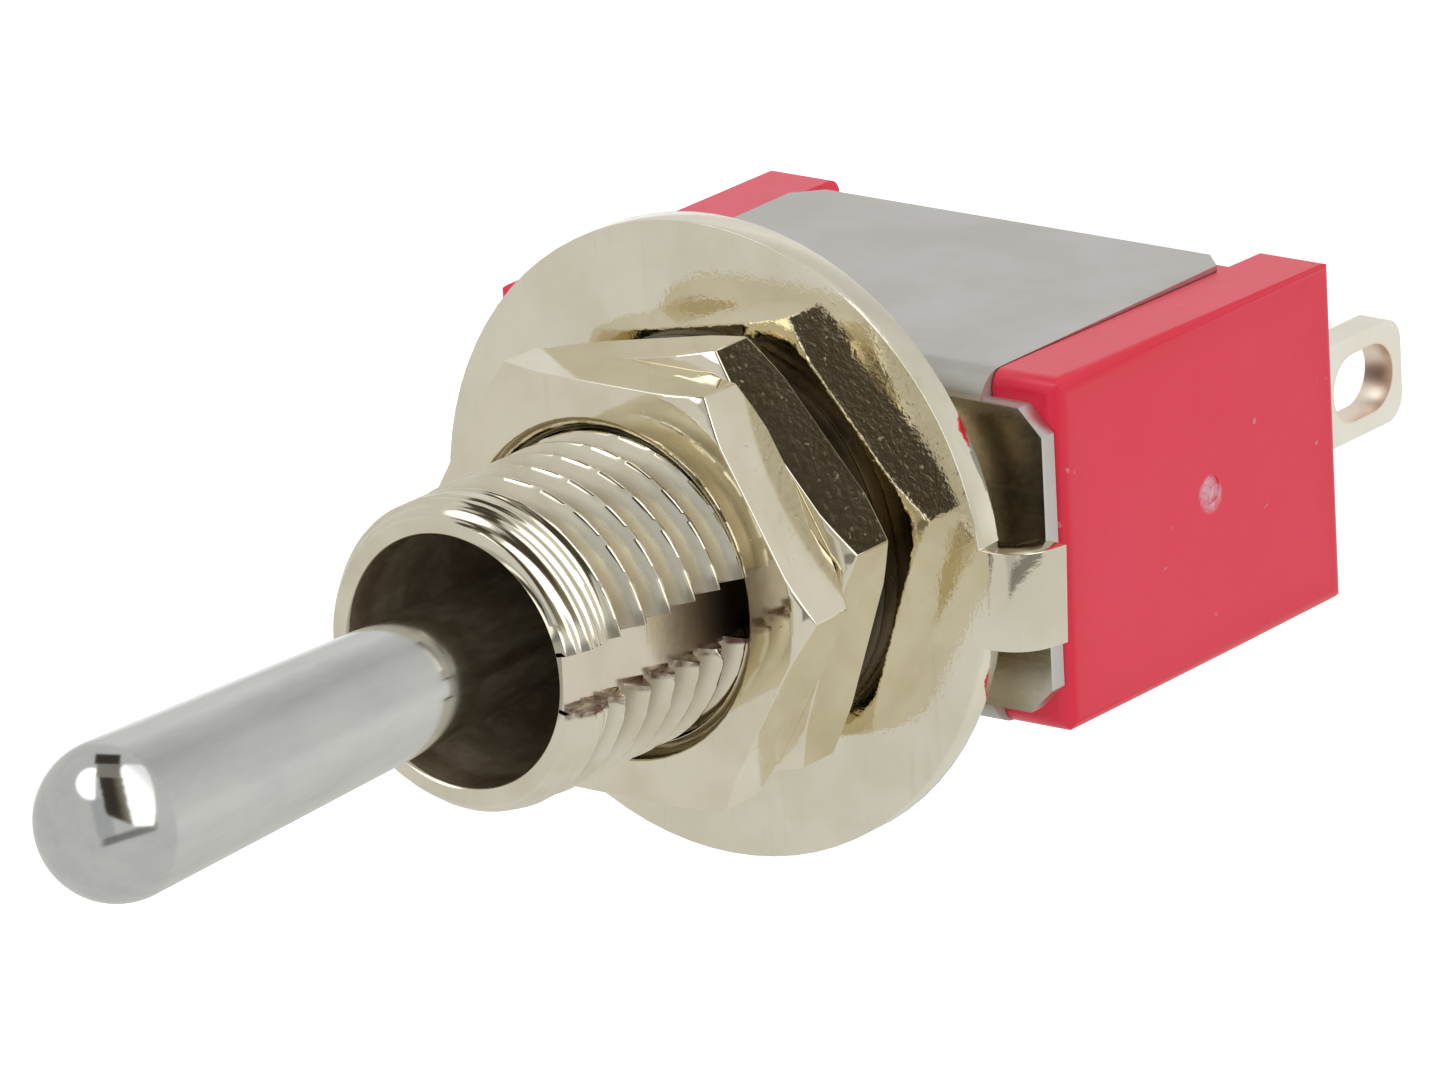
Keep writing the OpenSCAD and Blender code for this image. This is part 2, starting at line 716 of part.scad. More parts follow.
module terminal_left() {
    mirror([1, 0, 0]) end_terminal();
}

// The centre terminal: wider inside the case, with a round top edge that carries the rocker
module terminal_centre() {
    shoulder_w = lug_w + 0.8;
    color([0.86, 0.84, 0.76]) {
        lug(floor_z + eps);
        translate([0, lug_shift, 0]) along_y(shoulder_w) {
            translate([-lug_t / 2, floor_z]) square([lug_t, rocker_z - floor_z]);
            translate([0, rocker_z]) circle(edge_r);
        }
    }
}

lever();
pivot_pin();
plunger();
plunger_spring();
bushing();
frame();
case();
keyed_washer();
lock_washer();
rear_nut();
front_nut();
rocker();
rocker_contact_left();
rocker_contact_right();
terminal_left();
terminal_centre();
terminal_right();
fixed_contact_left();
fixed_contact_right();
terminal_seal();
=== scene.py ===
import math

import bmesh
import bpy
from mathutils import Matrix, Vector


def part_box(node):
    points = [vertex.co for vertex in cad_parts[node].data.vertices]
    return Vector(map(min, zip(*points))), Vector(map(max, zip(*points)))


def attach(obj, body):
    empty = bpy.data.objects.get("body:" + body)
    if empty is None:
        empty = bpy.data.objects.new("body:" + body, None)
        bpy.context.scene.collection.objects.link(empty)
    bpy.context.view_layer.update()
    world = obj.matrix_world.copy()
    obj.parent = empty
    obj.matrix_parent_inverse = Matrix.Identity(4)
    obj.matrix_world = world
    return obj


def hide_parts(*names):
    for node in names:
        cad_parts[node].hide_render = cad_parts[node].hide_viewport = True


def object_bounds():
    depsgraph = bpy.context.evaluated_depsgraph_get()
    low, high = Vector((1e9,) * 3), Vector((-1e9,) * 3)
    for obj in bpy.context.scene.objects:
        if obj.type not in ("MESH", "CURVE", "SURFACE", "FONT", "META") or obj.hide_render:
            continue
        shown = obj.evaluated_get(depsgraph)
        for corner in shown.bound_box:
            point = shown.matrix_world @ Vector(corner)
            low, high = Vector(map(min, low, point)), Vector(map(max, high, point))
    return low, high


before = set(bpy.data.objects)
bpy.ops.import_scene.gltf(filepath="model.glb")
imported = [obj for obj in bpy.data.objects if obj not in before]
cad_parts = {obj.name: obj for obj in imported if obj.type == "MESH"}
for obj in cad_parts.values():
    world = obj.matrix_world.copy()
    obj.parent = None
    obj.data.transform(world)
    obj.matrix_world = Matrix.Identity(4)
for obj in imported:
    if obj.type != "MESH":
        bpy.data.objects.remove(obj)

CAD_BOX = [list(corner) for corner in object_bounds()]
MM = 0.001

# ---- Sizes, in metres; levels along the bushing come from the solids ----

low, high = 0, 1
rim_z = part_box("bushing")[high].z
case_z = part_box("bushing")[low].z
sheet_t = 0.39 * MM
plate_z = case_z + sheet_t
tip_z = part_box("lever")[high].z
floor_z = CAD_BOX[low][2]

thread_r = 3.0 * MM
pitch = 0.75 * MM
thread_depth = 0.613 * pitch
keyway_x = thread_r - thread_depth
keyway_half = 0.6 * MM
collar_r = 4.2 * MM
collar_top_z = plate_z + 1.1 * MM
stub_r = 3.2 * MM
rivet_r = stub_r + 0.3 * MM
mouth_r = 2.39 * MM
mouth_floor_z = rim_z - 3.1 * MM
mouth_edge = 0.08 * MM
rim_step = 0.6 * thread_depth           # how far the rim stands back from the crests
rim_slope = 0.6
collar_ease = 0.05 * MM
runout_z = rim_z - 1.25 * MM            # the thread grows shallow from here
runout_end_z = rim_z - 0.85 * MM

pivot_z = plate_z + 4.6 * MM
ball_r = 2.0 * MM
run_gap = 0.05 * MM
chamber_r = ball_r + run_gap
seat_r = 0.86 * ball_r
seat_top_z = pivot_z + math.sqrt(chamber_r ** 2 - seat_r ** 2)
tip_r = 1.49 * MM
bat_r = 1.21 * MM
tail_r = 1.2 * MM
tail_l = 6.6 * MM
tail_bore_r = 0.85 * MM
tail_chamfer = 0.12 * MM
bore_top = 1.0 * MM
neck_rise = 1.7 * MM                    # the bat leaves the ball this far above the pivot
mouth_cone = 0.3 * MM                   # straight wall between the ball's seat and the mouth's cone
flare_r = chamber_r + 0.25 * MM

spring_r = 0.7 * MM
wire_r = 0.1 * MM
spring_low_z = pivot_z - 4.1 * MM
spring_high_z = pivot_z - bore_top - wire_r
spring_turns = 6

case_low, case_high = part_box("case")
gate_y = -0.08 * MM
gate_z = plate_z - 5.1 * MM
gate_r = 0.32 * MM
lug_low, lug_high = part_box("terminal_right")
eye_r = 0.67 * MM
eye_half = 0.32 * MM
eye_y = (lug_low.y + lug_high.y) / 2
eye_rim = 0.3 * MM
eye_z = lug_low.z + eye_rim + eye_r + eye_half

# Camera: place and turn
camera_spot = Vector((0.16560, 0.08974, 0.21287))
camera_right = Vector((0.8028, -0.0482, -0.5944))
camera_up = Vector((-0.1497, 0.9485, -0.2791))
camera_back = Vector((0.5772, 0.3130, 0.7542))
lens = 387.1


# ---- Node trees ----

class Wire:
    """One socket of a node tree; arithmetic on it adds Math nodes."""

    def __init__(self, board, socket):
        self.board = board
        self.socket = socket

    def maths(self, operation, *terms, clamp=False):
        settings = {"operation": operation, "use_clamp": clamp}
        return self.board.add("ShaderNodeMath", settings, dict(enumerate(terms)))

    def __add__(self, other):
        return self.maths("ADD", self, other)

    def __radd__(self, other):
        return self.maths("ADD", other, self)

    def __sub__(self, other):
        return self.maths("SUBTRACT", self, other)

    def __rsub__(self, other):
        return self.maths("SUBTRACT", other, self)

    def __mul__(self, other):
        return self.maths("MULTIPLY", self, other)

    def __rmul__(self, other):
        return self.maths("MULTIPLY", other, self)

    def __truediv__(self, other):
        return self.maths("DIVIDE", self, other)

    def __rtruediv__(self, other):
        return self.maths("DIVIDE", other, self)

    def __pow__(self, other):
        return self.maths("POWER", self, other)

    def __abs__(self):
        return self.maths("ABSOLUTE", self)

    def clamped(self):
        return self.maths("ADD", self, 0.0, clamp=True)

    def least(self, other):
        return self.maths("MINIMUM", self, other)

    def most(self, other):
        return self.maths("MAXIMUM", self, other)

    def part(self):
        return self.maths("FRACT", self)

    def sine(self):
        return self.maths("SINE", self)

    def cosine(self):
        return self.maths("COSINE", self)

    def turn_to(self, other):
        """The angle whose sine side is this number and whose cosine side is the other."""
        return self.maths("ARCTAN2", self, other)

    def ramp(self, start, end):
        """0 at start, 1 at end, eased between them."""
        settings = {"interpolation_type": "SMOOTHSTEP"}
        sockets = {"Value": self, "From Min": start, "From Max": end, "To Min": 0.0, "To Max": 1.0}
        return self.board.add("ShaderNodeMapRange", settings, sockets)

    def dot(self, vector):
        sockets = {0: self, 1: vector}
        settings = {"operation": "DOT_PRODUCT"}
        return self.board.add("ShaderNodeVectorMath", settings, sockets, "Value")


class Board:
    """A node tree that is being wired."""

    def __init__(self, tree):
        self.tree = tree
        tree.nodes.clear()

    def add(self, kind, settings=None, sockets=None, out=0):
        """Makes a node, sets it, plugs its sockets, and gives the named output."""
        node = self.tree.nodes.new(kind)
        for name, value in (settings or {}).items():
            if name == "stops":
                self.set_stops(node.color_ramp, value)
            else:
                setattr(node, name, value)
        for name, value in (sockets or {}).items():
            self.plug(node.inputs[name], value)
        return Wire(self, node.outputs[out]) if len(node.outputs) else node

    def plug(self, socket, value):
        if isinstance(value, Wire):
            self.tree.links.new(value.socket, socket)
        else:
            socket.default_value = value

    def set_stops(self, ramp, stops):
        while len(ramp.elements) < len(stops):
            ramp.elements.new(0.5)
        for element, (place, colour) in zip(ramp.elements, stops):
            element.position = place
            element.color = (*colour, 1.0)

    def parts(self, vector):
        """The three numbers of a vector."""
        node = self.tree.nodes.new("ShaderNodeSeparateXYZ")
        self.plug(node.inputs[0], vector)
        return [Wire(self, output) for output in node.outputs]

    def point(self, x, y, z):
        return self.add("ShaderNodeCombineXYZ", sockets={"X": x, "Y": y, "Z": z})

    def blend(self, share, one, other):
        """Colour one where share is 0, the other where it is 1."""
        sockets = {0: share, 6: one, 7: other}
        return self.add("ShaderNodeMix", {"data_type": "RGBA"}, sockets, 2)

    def noise(self, place, scale, detail=3.0, rough=0.5, warp=0.0):
        sockets = {"Vector": place, "Scale": scale, "Detail": detail, "Roughness": rough,
                   "Distortion": warp}
        return self.add("ShaderNodeTexNoise", sockets=sockets)

    def place(self, turn=(0, 0, 0), stretch=(1, 1, 1), centre=(0, 0, 0)):
        """Object coordinates, turned and stretched about a centre."""
        coordinates = self.add("ShaderNodeTexCoord", out="Object")
        sockets = {"Vector": coordinates, "Location": centre, "Rotation": turn, "Scale": stretch}
        return self.add("ShaderNodeMapping", {"vector_type": "POINT"}, sockets)


def colour(red, green, blue):
    """A screen colour of 0 to 255 as the light that it stands for."""
    def light(level):
        share = level / 255
        return share / 12.92 if share <= 0.04045 else ((share + 0.055) / 1.055) ** 2.4
    return (light(red), light(green), light(blue), 1.0)


def material(name):
    """A new material with a plain surface, and the board that wires it."""
    made = bpy.data.materials.new(name)
    made.use_nodes = True
    return made, Board(made.node_tree)


def surface(board, base, rough, metal=0.0, bump=None, bump_depth=0.0, **settings):
    """The surface itself; bump is a height from 0 to 1 and bump_depth is in metres."""
    sockets = {"Base Color": base, "Roughness": rough, "Metallic": metal}
    sockets.update({name.replace("_", " "): value for name, value in settings.items()})
    if bump is not None:
        sockets["Normal"] = board.add("ShaderNodeBump", sockets={
            "Strength": 1.0, "Distance": bump_depth, "Height": bump}, out="Normal")
    shader = board.add("ShaderNodeBsdfPrincipled", sockets=sockets)
    board.add("ShaderNodeOutputMaterial", sockets={"Surface": shader})


def scratches(board, across, along=(0, 0, 0), thin=(1, 1, 0.04), amount=0.5):
    """Fine straight marks: 0 on bare metal, 1 in a mark."""
    lines = board.noise(board.place(along, thin), across, 2.0, 0.6)
    return ((lines - (1 - amount)) * 6).clamped()


def chrome_plate():
    """Bright on the bat; painted shade darkens its lower end near the mouth and the ball below it,
    which is also dull.
    """
    made, board = material("chrome_plate")
    spot = board.add("ShaderNodeTexCoord", out="Object")
    height = board.parts(spot)[2]
    wave = board.noise(board.place(stretch=(1, 1, 0.35)), 420, 2.0, 0.4)
    cloud = board.noise(board.place(stretch=(1, 1, 0.3)), 1500, 4.0, 0.65)
    grain = board.noise(spot, 5200, 3.0, 0.6)
    ball_top_z = pivot_z + ball_r
    # painted shade: the ball, down in the bore, is coloured dark brown below the bat's foot
    ball_shade = 1 - (height + cloud * 0.3 * MM).ramp(ball_top_z - 0.15 * MM, ball_top_z + 0.1 * MM)
    base = board.blend(cloud.ramp(0.3, 0.75), colour(214, 214, 212), colour(203, 204, 203))
    base = board.blend(ball_shade, base, colour(84, 78, 68))
    # painted shade: the bat's lower end greys towards the mouth of the bushing
    bat_end_shade = 1 - (height + cloud * 1.6 * MM).ramp(ball_top_z + 0.4 * MM, ball_top_z + 2.0 * MM)
    base = board.blend(bat_end_shade * 0.6, base, colour(104, 104, 104))
    surface(board, base, 0.06 + wave * 0.05 + cloud * 0.05 + bat_end_shade * 0.2 + ball_shade * 0.1, 1.0,
            wave + cloud * 0.15 + grain * 0.04, 0.010 * MM)
    return made


def nickel_plate(name, tint, shade, rough, marks, peel_scale, peel_height):
    """Warm plated metal with tumbling marks, specks and an orange-peel skin."""
    made, board = material(name)
    spot = board.add("ShaderNodeTexCoord", out="Object")
    tone = board.noise(spot, 520, 3.0, 0.55)
    peel = board.noise(spot, peel_scale, 2.0, 0.55)
    first = scratches(board, 2600, (0.3, 0.5, 0.9), (1, 0.05, 1), 0.36)
    second = scratches(board, 3100, (0.1, 0.2, 2.2), (1, 0.05, 1), 0.34)
    specks = board.noise(spot, 5200, 2.0, 0.6).ramp(0.68, 0.74)
    lines = first.most(second) * marks
    base = board.blend(tone.ramp(0.35, 0.7), tint, shade)
    base = board.blend(lines * 0.15, base, colour(150, 140, 118))
    surface(board, base, rough + tone * 0.04 + lines * 0.03 + specks * 0.18, 1.0,
            tone * 0.3 + peel * peel_height - lines * 0.012 + specks * 0.1, 0.010 * MM)
    return made


def cut_nickel():
    """Bright on the crests, with painted shade in the grooves and in the bore, stained in the
    keyway.
    """
    made, board = material("bushing_nickel")
    spot = board.add("ShaderNodeTexCoord", out="Object")
    x, y, z = board.parts(spot)
    radius = (x * x + y * y) ** 0.5
    tone = board.noise(spot, 700, 3.0, 0.55)
    grime_and_shade = board.noise(spot, 1500, 4.0, 0.65)
    turning = board.noise(board.place(stretch=(0.05, 0.05, 1)), 12000, 2.0, 0.6)
    base = board.blend(tone.ramp(0.35, 0.7), colour(236, 230, 211), colour(222, 214, 191))
    in_bore = (1 - radius.ramp(mouth_r - 0.01 * MM, mouth_r + 0.05 * MM)) * (
        1 - z.ramp(rim_z - 0.25 * MM, rim_z + 0.05 * MM))
    in_groove = (1 - radius.ramp(thread_r - 0.75 * thread_depth, thread_r - 0.06 * MM)) * (
        z.ramp(collar_top_z, collar_top_z + 0.1 * MM)) * (
        1 - z.ramp(rim_z - 1.1 * MM, rim_z - 0.6 * MM))
    # painted shade: the bore is coloured brown, darker in patches
    bore_shade = board.blend(grime_and_shade.ramp(0.35, 0.75), colour(150, 134, 112), colour(184, 172, 152))
    floor_end = x.ramp(2.3 * MM, 2.4 * MM) * (1 - x.ramp(2.62 * MM, 2.7 * MM))
    on_floor = (1 - abs(y).ramp(0.50 * MM, 0.62 * MM)) * floor_end
    stained = on_floor * (1 - (z + grime_and_shade * 1.2 * MM).ramp(1.4 * MM, 3.0 * MM))
    wall = (1 - abs(y + keyway_half).ramp(0.04 * MM, 0.11 * MM)) * x.ramp(2.5 * MM, 2.6 * MM)
    in_groove = in_groove * (1 - on_floor)
    # painted shade: the thread's grooves are coloured darker
    base = board.blend(in_groove * 0.8, base, colour(188, 178, 158))
    base = board.blend(on_floor * 0.5, base, colour(206, 192, 178))
    base = board.blend(stained * 0.85, base, colour(134, 116, 100))
    base = board.blend(wall * grime_and_shade.ramp(0.4, 0.6), base, colour(120, 92, 84))
    base = board.blend(in_bore, base, bore_shade)
    rough = (0.10 + tone * 0.05 + in_bore * 0.28 + stained * 0.25 + wall * 0.15
             + in_groove * 0.30)
    surface(board, base, rough, 1.0, tone * 0.3 + turning * 0.25 + grime_and_shade * 0.15, 0.010 * MM)
    return made


def frame_sheet():
    """Dull on the side plates, with painted shade in the narrow space behind the keyed washer."""
    made, board = material("frame_sheet")
    spot = board.add("ShaderNodeTexCoord", out="Object")
    x, y, z = board.parts(spot)
    tone = board.noise(spot, 380, 3.0, 0.6)
    grain = board.noise(spot, 7000, 4.0, 0.65)
    lines = scratches(board, 5200, (0, 0, 0.02), (0.03, 1, 1), 0.45)
    base = board.blend(tone.ramp(0.3, 0.7), colour(212, 211, 208), colour(203, 201, 196))
    in_front = z.ramp(plate_z - 0.12 * MM, plate_z - 0.02 * MM)
    # painted shade: the front plate is coloured brown where it lies behind the keyed washer
    behind_washer_shade = in_front * (1 - (abs(x) + grain * 0.5 * MM).ramp(5.5 * MM, 6.6 * MM))
    base = board.blend(behind_washer_shade * 0.8, base, colour(162, 146, 122))
    on_fold = z.ramp(plate_z - 0.8 * MM, plate_z - 0.4 * MM) * abs(y).ramp(2.6 * MM, 3.1 * MM)
    rough = 0.32 + grain * 0.10 + lines * 0.05 - in_front * 0.18 + on_fold * 0.3
    surface(board, base, rough, 1.0, grain * 0.4 + lines * 0.2, 0.005 * MM)
    return made


def red_moulding():
    """Glossy red, a little deeper along the end walls' borders, with the gate's pale mark."""
    made, board = material("red_moulding")
    tone = board.noise(board.place(), 240, 3.0, 0.5)
    grain = board.noise(board.place(), 5200, 3.0, 0.6)
    spot = board.add("ShaderNodeTexCoord", out="Object")
    x, y, z = board.parts(spot)
    wander = board.noise(spot, 1100, 3.0, 0.6) - 0.5
    specks = board.noise(spot, 2100, 1.0, 0.5).ramp(0.775, 0.80)
    base = board.blend(tone.ramp(0.3, 0.7), colour(252, 27, 70), colour(254, 38, 80))
    end = abs(x).ramp(case_high.x - 0.12 * MM, case_high.x - 0.04 * MM)
    rim_y = case_high.y - abs(y)
    rim_low = (z - case_low.z).least(case_high.z - z)
    thin = 1 - (rim_y.least(rim_low) + wander * 0.5 * MM).ramp(0.25 * MM, 1.0 * MM)
    base = board.blend(thin * end * 0.4, base, colour(240, 16, 50))
    from_gate = ((y - gate_y) ** 2 + (z - gate_z) ** 2) ** 0.5 + wander * 0.30 * MM
    gate = (1 - from_gate.ramp(gate_r - 0.08 * MM, gate_r + 0.08 * MM)) * x.ramp(0, case_high.x)
    swirl = board.noise(spot, 4200, 2.0, 0.6, 2.0).ramp(0.38, 0.6)
    base = board.blend(gate * end * (0.4 + swirl * 0.55), base, colour(252, 190, 206))
    base = board.blend(specks * 0.7, base, colour(244, 150, 160))
    height = grain * 0.4 + tone * 0.4 + gate * end * swirl * 1.5
    surface(board, base, 0.36 + grain * 0.10, 0.0, height, 0.010 * MM,
            Coat_Weight=0.35, Coat_Roughness=0.2)
    return made


def lug_plate():
    """Dull silver; copper shows through on the sheared wall of the eye."""
    made, board = material("lug_plate")
    spot = board.add("ShaderNodeTexCoord", out="Object")
    y, z = board.parts(spot)[1:]
    tone = board.noise(spot, 700, 3.0, 0.55)
    grain = board.noise(spot, 6000, 3.0, 0.6)
    base = board.blend(tone.ramp(0.35, 0.7), colour(255, 253, 244), colour(251, 246, 232))
    from_eye = ((y - eye_y) ** 2 + (((abs(z - eye_z) - eye_half).most(0.0)) ** 2)) ** 0.5
    sheared = 1 - from_eye.ramp(eye_r + 0.01 * MM, eye_r + 0.06 * MM)
    base = board.blend(sheared * (0.15 + tone * 0.7), base, colour(252, 226, 204))
    surface(board, base, 0.34 + grain * 0.10, 1.0, tone * 0.5 + grain * 0.15, 0.012 * MM)
    return made


def plain_metal(name, one, other, rough, depth):
    made, board = material(name)
    tone = board.noise(board.place(), 900, 3.0, 0.55)
    grain = board.noise(board.place(), 8000, 3.0, 0.6)
    base = board.blend(tone.ramp(0.35, 0.65), one, other)
    surface(board, base, rough + grain * 0.08, 1.0, tone * 0.4 + grain * 0.3, depth)
    return made


def plain_plastic(name, one, other, rough, depth):
    made, board = material(name)
    tone = board.noise(board.place(), 500, 3.0, 0.5)
    grain = board.noise(board.place(), 4500, 3.0, 0.6)
    base = board.blend(tone.ramp(0.3, 0.7), one, other)
    surface(board, base, rough + grain * 0.1, 0.0, tone + grain * 0.4, depth)
    return made


chrome = chrome_plate()
nut_nickel = nickel_plate("nut_nickel", colour(240, 233, 213), colour(229, 220, 197), 0.05, 1.0,
                          1500, 0.06)
washer_nickel = nickel_plate("washer_nickel", colour(242, 236, 218), colour(232, 225, 204), 0.05,
                             0.8, 8000, 0.30)
# painted shade: the lock washer is coloured dark brown to stand for the shaded gap it sits in
lock_washer_shade = plain_metal("lock_washer_shade", colour(76, 64, 46), colour(52, 43, 30), 0.34, 0.01 * MM)
bushing_nickel = cut_nickel()
sheet_steel = frame_sheet()
red = red_moulding()
lug_silver = lug_plate()
contact_silver = plain_metal("contact_silver", colour(244, 242, 236), colour(226, 222, 212), 0.25,
                             0.008 * MM)
rocker_bronze = plain_metal("rocker_bronze", colour(226, 178, 118), colour(206, 152, 96), 0.3,
                            0.01 * MM)
spring_steel = plain_metal("spring_steel", colour(206, 206, 204), colour(180, 180, 178), 0.22,
                           0.005 * MM)
nylon = plain_plastic("plunger_nylon", colour(232, 228, 214), colour(220, 214, 196), 0.45,
                      0.01 * MM)
resin = plain_plastic("seal_resin", colour(70, 44, 36), colour(96, 62, 50), 0.35, 0.05 * MM)


# ---- Making pieces ----

def piece_from(name, mesh, finish, sharp=32):
    """A finished object: the mesh with its finish, smooth but for its sharp edges."""
    made = bpy.data.objects.new(name, mesh)
    bpy.context.scene.collection.objects.link(made)
    mesh.materials.clear()
    mesh.materials.append(finish)
    if sharp:
        mesh.shade_smooth()
        mesh.set_sharp_from_angle(angle=math.radians(sharp))
    return made


def evaluated_mesh(holder, name):
    """The plain mesh that a holder's modifiers give; the holder goes."""
    graph = bpy.context.evaluated_depsgraph_get()
    mesh = bpy.data.meshes.new_from_object(holder.evaluated_get(graph))
    mesh.name = name
    bpy.data.objects.remove(holder)
    return mesh


def eased(node, finish, edge, steps=2, sharp=32):
    """A copy of a solid whose edges are a little round, as pressing or plating leave them."""
    shape = bmesh.new()
    shape.from_mesh(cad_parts[node].data)
    bmesh.ops.remove_doubles(shape, verts=shape.verts, dist=0.0005 * MM)
    bmesh.ops.dissolve_limit(shape, angle_limit=math.radians(0.5), verts=shape.verts,
                             edges=shape.edges)
    mesh = bpy.data.meshes.new(node + "_form")
    shape.to_mesh(mesh)
    shape.free()
    mesh.shade_smooth()
    holder = bpy.data.objects.new(node + "_holder", mesh)
    bpy.context.scene.collection.objects.link(holder)
    rounding = holder.modifiers.new("edges", "BEVEL")
    rounding.width = edge
    rounding.segments = steps
    rounding.limit_method = "ANGLE"
    rounding.angle_limit = math.radians(sharp)
    rounding.use_clamp_overlap = True
    flat_faces = holder.modifiers.new("flat_faces", "WEIGHTED_NORMAL")
    flat_faces.keep_sharp = True
    return piece_from(node + "_dressed", evaluated_mesh(holder, node + "_dressed"), finish, None)


def turned(name, section, finish, sides=144, sharp=32):
    """A turned piece: a section of (radius, height) points, from pole to pole or closed."""
    points, rings = [], []
    for radius, height in section:
        if radius == 0:
            rings.append([len(points)] * sides)
            points.append((0, 0, height))
            continue
        rings.append(list(range(len(points), len(points) + sides)))
        points += [(radius * math.cos(2 * math.pi * k / sides),
                    radius * math.sin(2 * math.pi * k / sides), height) for k in range(sides)]
    if section[0][0] and section[-1][0]:
        rings.append(rings[0])
    faces = []
    for lower, upper in zip(rings, rings[1:]):
        for k in range(sides):
            corners = [lower[k], lower[(k + 1) % sides], upper[(k + 1) % sides], upper[k]]
            faces.append([c for n, c in enumerate(corners) if c not in corners[:n]])
    mesh = bpy.data.meshes.new(name)
    mesh.from_pydata(points, [], faces)
    mesh.validate()
    return piece_from(name, mesh, finish, sharp)


def arc(radius, centre_z, start, end, steps):
    """Points of a circle about the axis, from one angle above the equator to another."""
    return [(radius * math.cos(math.radians(start + (end - start) * k / steps)),
             centre_z + radius * math.sin(math.radians(start + (end - start) * k / steps)))
            for k in range(steps + 1)]


def grown(tree_name, build, values, finish, name):
    """The plain mesh that a tree of nodes makes from named sizes."""
    tree = bpy.data.node_groups.new(tree_name, "GeometryNodeTree")
    board = Board(tree)
    tree.interface.new_socket("Geometry", in_out="OUTPUT", socket_type="NodeSocketGeometry")
    slots = {}
    for key in values:
        slots[key] = tree.interface.new_socket(key, in_out="INPUT", socket_type="NodeSocketFloat")
    entry = tree.nodes.new("NodeGroupInput")
    sizes = {key: Wire(board, entry.outputs[key]) for key in values}
    shape = build(board, sizes)
    shape = board.add("GeometryNodeRealizeInstances", sockets={"Geometry": shape})
    shape = board.add("GeometryNodeSetMaterial", sockets={"Geometry": shape, "Material": finish})
    leave = tree.nodes.new("NodeGroupOutput")
    board.plug(leave.inputs["Geometry"], shape)
    holder = bpy.data.objects.new(name + "_holder", bpy.data.meshes.new(name + "_holder"))
    bpy.context.scene.collection.objects.link(holder)
    grower = holder.modifiers.new(tree_name, "NODES")
    grower.node_group = tree
    for key, value in values.items():
        grower[slots[key].identifier] = float(value)
    return evaluated_mesh(holder, name)


# ---- Bushing: a cut thread with a keyway, sewn to the turned rim, bore and collar ----

round_sides = 300
wall_steps = 4
floor_steps = 8
turn_columns = round_sides + 2 * wall_steps + floor_steps
thread_rows = 264


def thread_surface(board, size):
    """A grid wrapped round the axis: the thread's turns, then the keyway's two walls and floor."""
    sheet = board.add("GeometryNodeMeshGrid", sockets={
        "Size X": 1.0, "Size Y": 1.0, "Vertices X": turn_columns + 1, "Vertices Y": thread_rows})
    along, up, _ = board.parts(board.add("GeometryNodeInputPosition"))
    column = (along + 0.5) * turn_columns
    height = size["Foot"] + (up + 0.5) * (size["Rim"] - size["Foot"])
    edge_angle = math.asin(keyway_half / thread_r)
    sweep = 2 * math.pi - 2 * edge_angle

    def thread_point(angle):
        """Where the thread's surface is at an angle round the axis."""
        around = board.point(angle.cosine() * thread_r, angle.sine() * thread_r, height)
        wander = board.noise(around, 900, 2.0, 0.5) - 0.5
        turns = height / size["Pitch"] - angle / (2 * math.pi) + wander * 0.012
        ridge = 1 - abs(turns.part() - 0.5) * 2
        cut = ((ridge - 0.17) / 0.75).clamped()
        start = height.ramp(runout_z, runout_end_z)
        fine = abs((turns * 3).part() - 0.5) * 2
        cut = cut + (0.84 + fine * 0.12 - cut) * start
        off_edge = 2 * math.pi - edge_angle - angle
        chips = (board.noise(around, 5200, 3.0, 0.7) - 0.42).most(0.0)
        torn = (1 - off_edge.ramp(0.0, 0.09)) * chips
        crest = size["Radius"] - size["Depth"] * (torn * 1.2).least(0.6)
        root = size["Radius"] - size["Depth"]
        radius = root + (crest - root) * cut
        limit = (size["Radius"] - size["Rim step"] + (size["Rim"] - height) * rim_slope
                 - (1 - fine) * size["Depth"] * 0.08)
        radius = radius.least(limit)
        return radius * angle.cosine(), radius * angle.sine()

    first_angle = board.add("ShaderNodeValue")
    first_angle.socket.default_value = edge_angle
    last_angle = first_angle + sweep
    round_share = (column / round_sides).clamped()
    here = thread_point(first_angle + round_share * sweep)
    first, last = thread_point(first_angle), thread_point(last_angle)
    down = ((column - round_sides) / wall_steps).clamped()
    over = ((column - round_sides - wall_steps) / floor_steps).clamped()
    back = ((column - round_sides - wall_steps - floor_steps) / wall_steps).clamped()
    ragged = board.noise(board.point(0.0, 0.0, height), 3800, 3.0, 0.7) - 0.5
    lean = ragged * size["Burr"]
    low_corner = (size["Key floor"], lean - size["Key half"])
    top_corner = (size["Key floor"], size["Key half"] + lean * 0.2)
    x = (here[0] + down * (low_corner[0] - last[0]) + back * (first[0] - top_corner[0]))
    y = (here[1] + down * (low_corner[1] - last[1]) + over * (top_corner[1] - low_corner[1])
         + back * (first[1] - top_corner[1]))
    return board.add("GeometryNodeSetPosition", sockets={
        "Geometry": sheet, "Position": board.point(x, y, height)})


